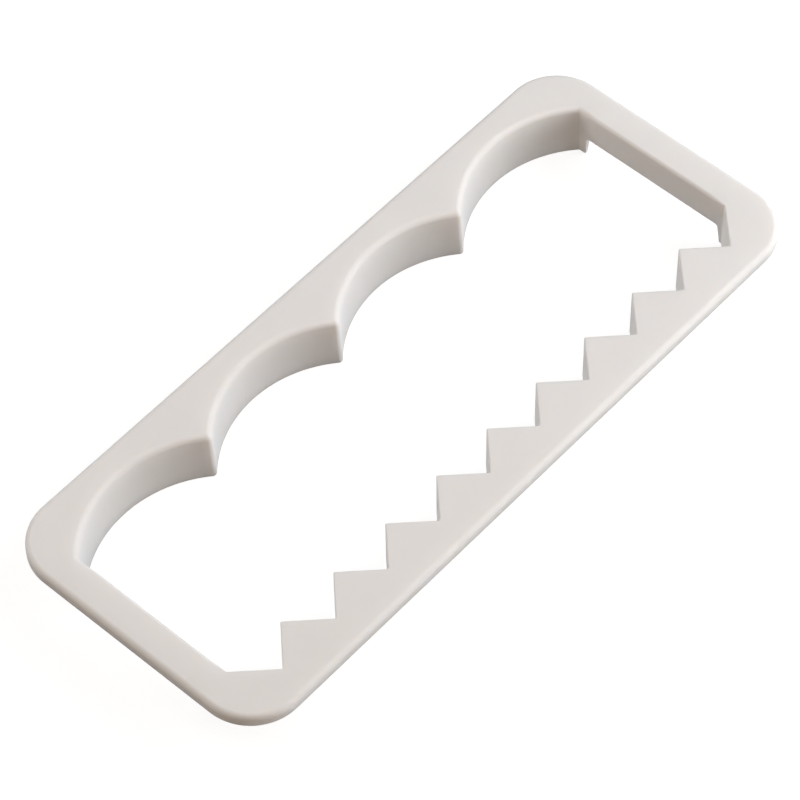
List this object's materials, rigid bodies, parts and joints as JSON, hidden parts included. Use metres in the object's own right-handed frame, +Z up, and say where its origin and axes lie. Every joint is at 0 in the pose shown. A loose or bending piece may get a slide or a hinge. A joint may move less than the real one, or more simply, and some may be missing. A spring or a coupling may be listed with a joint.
{
  "type": "fondant cutter",
  "caption": "Flat frame with a scalloped blade along one side of its long opening and a toothed blade along the other, for cutting edged strips of rolled paste.",
  "frame": {"origin": "under the middle of the plate, level with the cutting edge", "axes": "+X along the plate, +Y from the toothed side to the scalloped side, +Z up, from the cutting edge to the plate's top face"},
  "size_m": [0.11, 0.045, 0.0085],
  "materials": {
    "body": "satin moulded, warm grey white"
  },
  "bodies": {
    "root": {"cutter_body": "body"}
  },
  "joints": []
}
